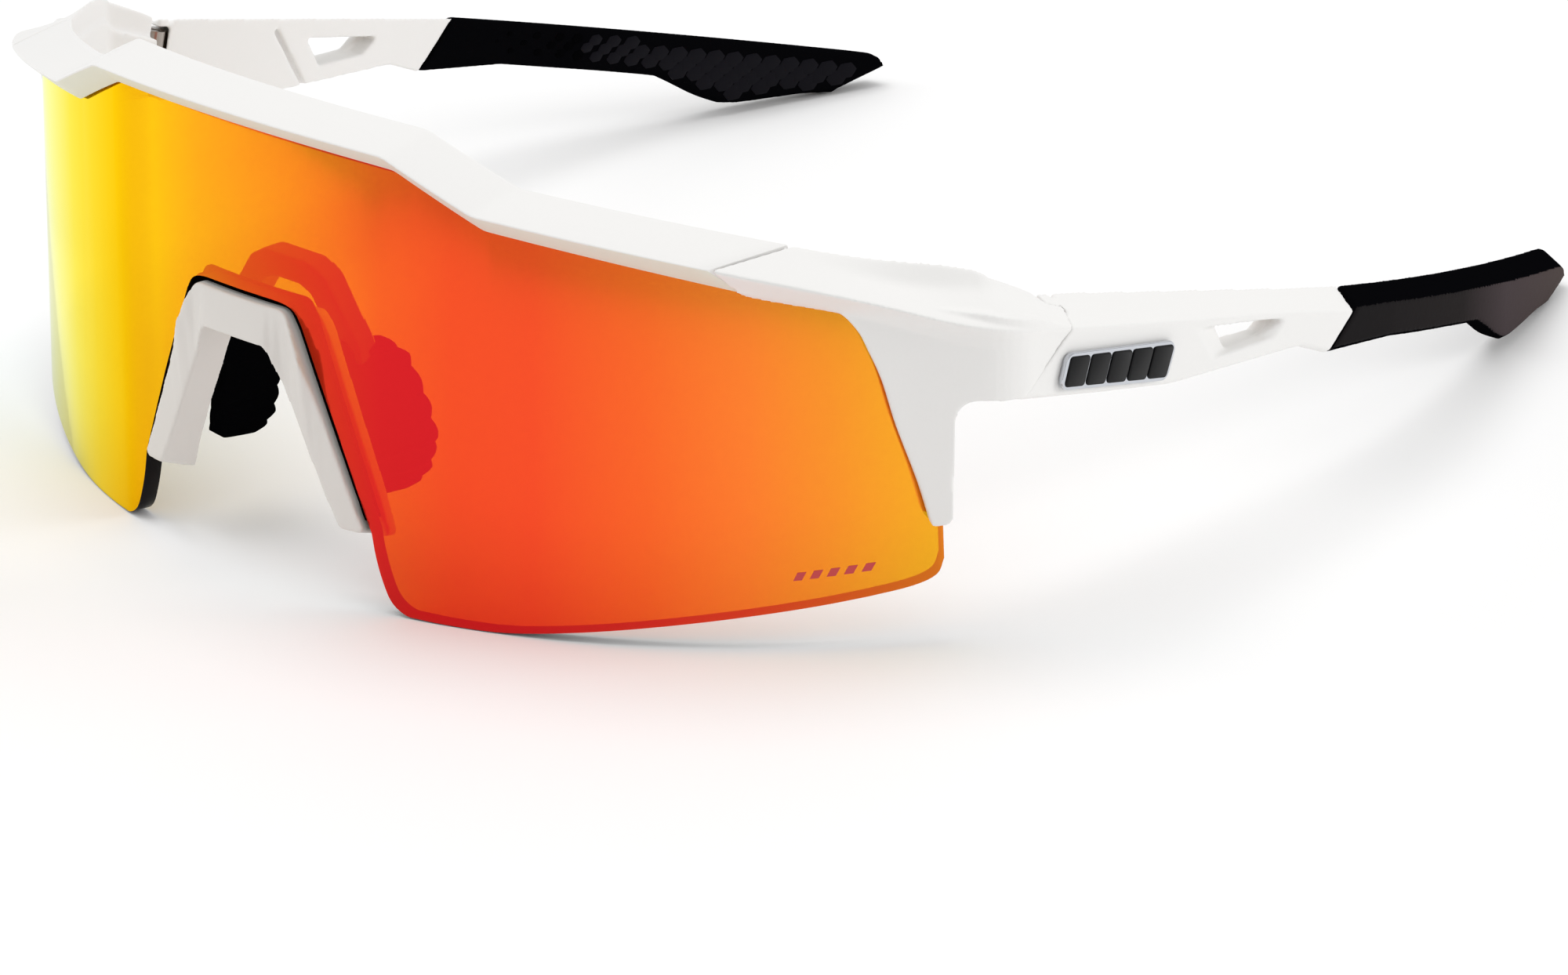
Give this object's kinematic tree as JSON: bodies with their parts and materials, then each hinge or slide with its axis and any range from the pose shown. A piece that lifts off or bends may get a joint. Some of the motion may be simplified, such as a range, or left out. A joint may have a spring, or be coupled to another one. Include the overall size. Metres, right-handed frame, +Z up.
{
  "type": "wraparound sport sunglasses",
  "caption": "Wraparound sport sunglasses with a one-piece mirrored shield lens under a white brow frame, folding white temples with black rubber grips and a nose piece with soft pads.",
  "frame": {"origin": "on the table, under the middle of the overall length and width, with the glasses open and standing on the lens and the temple tips", "axes": "+X toward the wearer's left temple, +Y from the lens back to the temple tips, +Z up"},
  "size_m": [0.1416, 0.1595, 0.0532],
  "materials": {
    "frame_white": "soft-touch matte white",
    "lens_mirror": "polished, mirror coated, red-orange shifting to yellow",
    "rubber_black": "matte charcoal rubber",
    "hinge_steel": "fine brushed",
    "badge_chrome": "polished rim round a dark fill"
  },
  "bodies": {
    "front": {"brow_frame": "frame_white", "end_frame_left": "frame_white", "end_frame_right": "frame_white", "shield_lens": "lens_mirror", "nose_bumper": "frame_white", "nose_bridge": "frame_white", "nose_pad_left": "rubber_black", "nose_pad_right": "rubber_black", "hinge_frame_leaf_left": "hinge_steel", "hinge_frame_leaf_right": "hinge_steel", "hinge_screw_left": "hinge_steel", "hinge_screw_right": "hinge_steel"},
    "left_temple": {"temple_arm_left": "frame_white", "temple_grip_left": "rubber_black", "temple_badge_left": "badge_chrome", "hinge_temple_leaf_left": "hinge_steel"},
    "right_temple": {"temple_arm_right": "frame_white", "temple_grip_right": "rubber_black", "temple_badge_right": "badge_chrome", "hinge_temple_leaf_right": "hinge_steel"}
  },
  "joints": [
    {"name": "left_temple_fold", "type": "hinge", "parent": "front", "child": "left_temple", "pos_m": [0.0662, -0.0283, 0.0283], "axis": [0, 0.2571, 0.9664], "range_deg": [0, 76]},
    {"name": "right_temple_fold", "type": "hinge", "parent": "front", "child": "right_temple", "pos_m": [-0.0662, -0.0283, 0.0283], "axis": [0, -0.2571, -0.9664], "range_deg": [0, 92]}
  ]
}
